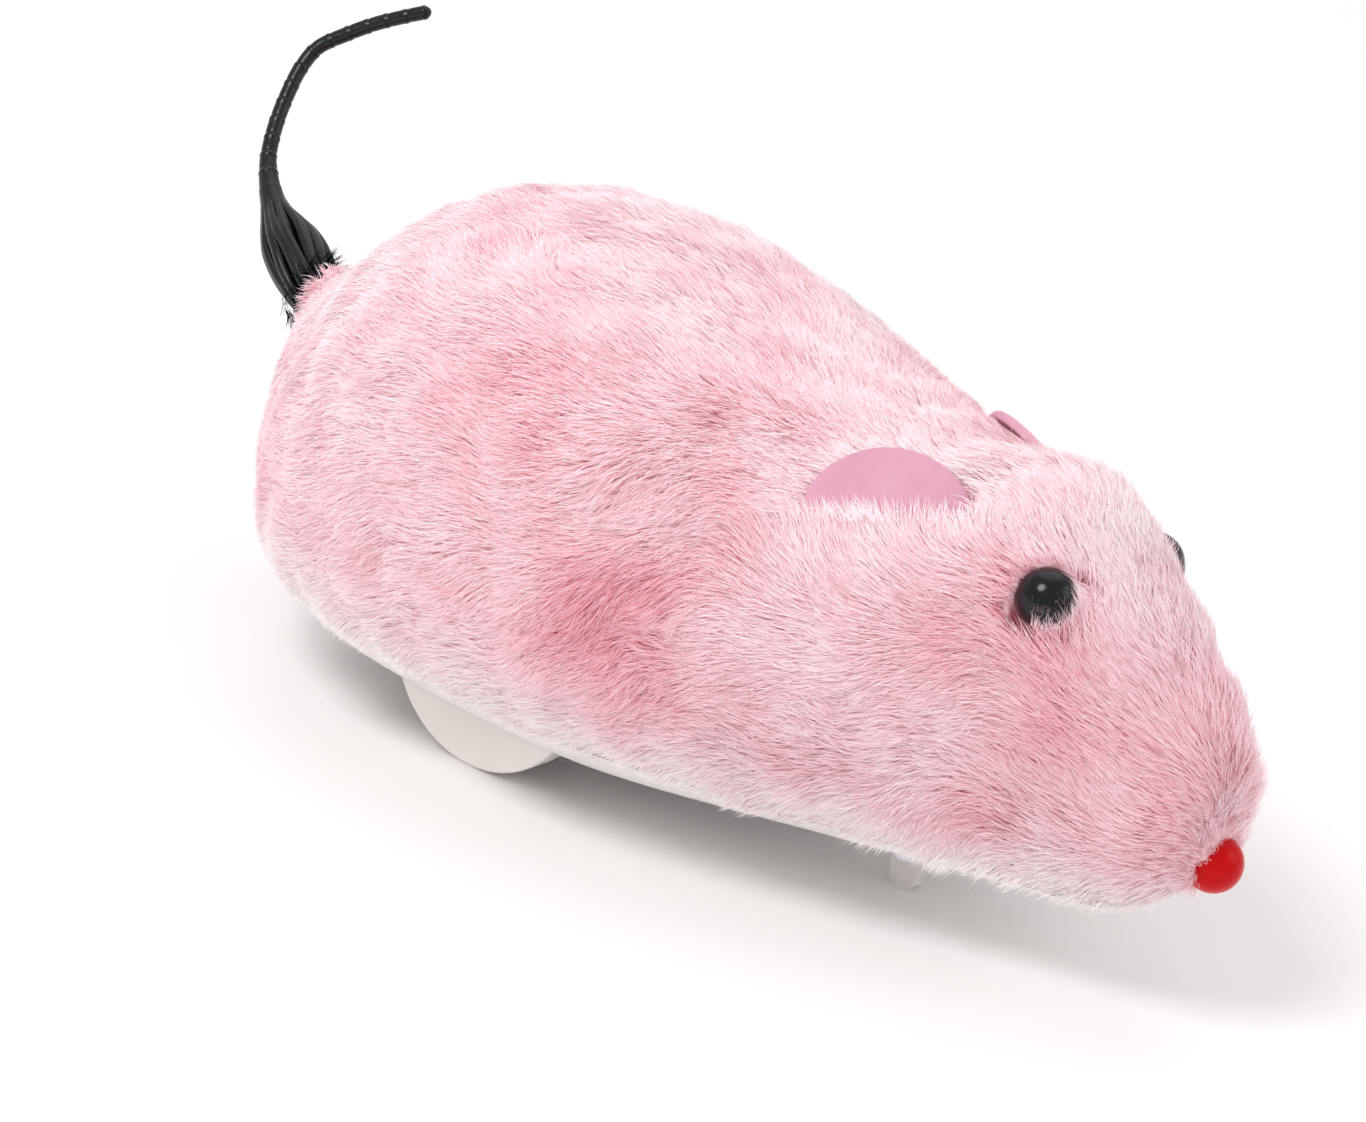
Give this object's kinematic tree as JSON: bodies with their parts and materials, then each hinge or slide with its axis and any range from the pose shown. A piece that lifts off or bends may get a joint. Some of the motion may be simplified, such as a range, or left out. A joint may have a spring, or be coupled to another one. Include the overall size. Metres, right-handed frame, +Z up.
{
  "type": "clockwork mouse",
  "caption": "Plush wind-up mouse on a white plastic chassis; a spring motor drives two rear wheels and whirls the soft black tail.",
  "frame": {"origin": "on the floor, under the middle of the 160 x 70 mm footprint", "axes": "+X towards the nose, +Y to the mouse's left, +Z up"},
  "size_m": [0.1599, 0.07, 0.0633],
  "materials": {
    "plush": "short pile plush",
    "ear_felt": "brushed felt",
    "black_bead": "polished",
    "red_bead": "polished",
    "white_plastic": "moulded",
    "wheel_plastic": "moulded",
    "gear_plastic": "moulded",
    "black_rubber": "glossy soft plastic",
    "bright_steel": "drawn",
    "spring_steel": "blued",
    "brass": "turned"
  },
  "bodies": {
    "mouse_body": {"lower_chassis": "white_plastic", "upper_shell": "white_plastic", "fur_cover": "plush", "ear_left": "ear_felt", "ear_right": "ear_felt", "eye_left": "black_bead", "eye_right": "black_bead", "nose": "red_bead", "bead_washers": "bright_steel", "chassis_screws": "bright_steel", "motor_screws": "bright_steel", "motor_plate_left": "bright_steel", "motor_plate_right": "bright_steel", "frame_pillars": "bright_steel", "tail_bracket": "bright_steel", "tail_bush": "gear_plastic", "mainspring": "spring_steel"},
    "drive_wheels": {"drive_axle": "bright_steel", "axle_pinion": "gear_plastic", "wheel_left": "wheel_plastic", "wheel_right": "wheel_plastic"},
    "idler": {"idler_shaft": "bright_steel", "idler_gear": "gear_plastic"},
    "great_wheel": {"great_gear": "brass", "click": "spring_steel", "click_rivet": "bright_steel"},
    "winding_shaft": {"winding_arbor": "bright_steel", "ratchet_wheel": "spring_steel", "winding_key": "white_plastic"},
    "crown_wheel": {"crown_shaft": "bright_steel", "crown_gear": "gear_plastic"},
    "tail_rotor": {"tail_shaft": "bright_steel", "tail_pinion": "gear_plastic", "tail": "black_rubber"}
  },
  "joints": [
    {"name": "drive_axle_spin", "type": "hinge", "parent": "mouse_body", "child": "drive_wheels", "pos_m": [-0.0065, 0, 0.0133], "axis": [0, 1, 0], "continuous": true},
    {"name": "idler_spin", "type": "hinge", "parent": "mouse_body", "child": "idler", "pos_m": [0.00199, 0, 0.02179], "axis": [0, 1, 0], "continuous": true},
    {"name": "great_gear_spin", "type": "hinge", "parent": "mouse_body", "child": "great_wheel", "pos_m": [0.01763, 0, 0.02598], "axis": [0, 1, 0], "continuous": true},
    {"name": "crown_gear_spin", "type": "hinge", "parent": "mouse_body", "child": "crown_wheel", "pos_m": [0.00356, 0, 0.034], "axis": [0, 1, 0], "continuous": true},
    {"name": "tail_spin", "type": "hinge", "parent": "mouse_body", "child": "tail_rotor", "pos_m": [-0.055, 0, 0.034], "axis": [1, 0, 0], "continuous": true},
    {"name": "key_wind", "type": "hinge", "parent": "great_wheel", "child": "winding_shaft", "pos_m": [0.01763, 0, 0.02598], "axis": [0, -1, 0], "range_deg": [0, 1800], "deforming": ["click", "mainspring"]}
  ],
  "couplings": [
    {"joint": "idler_spin", "follows": "drive_axle_spin", "ratio": -0.33333},
    {"joint": "great_gear_spin", "follows": "drive_axle_spin", "ratio": 0.075758},
    {"joint": "crown_gear_spin", "follows": "drive_axle_spin", "ratio": -0.33333},
    {"joint": "tail_spin", "follows": "drive_axle_spin", "ratio": -1}
  ]
}
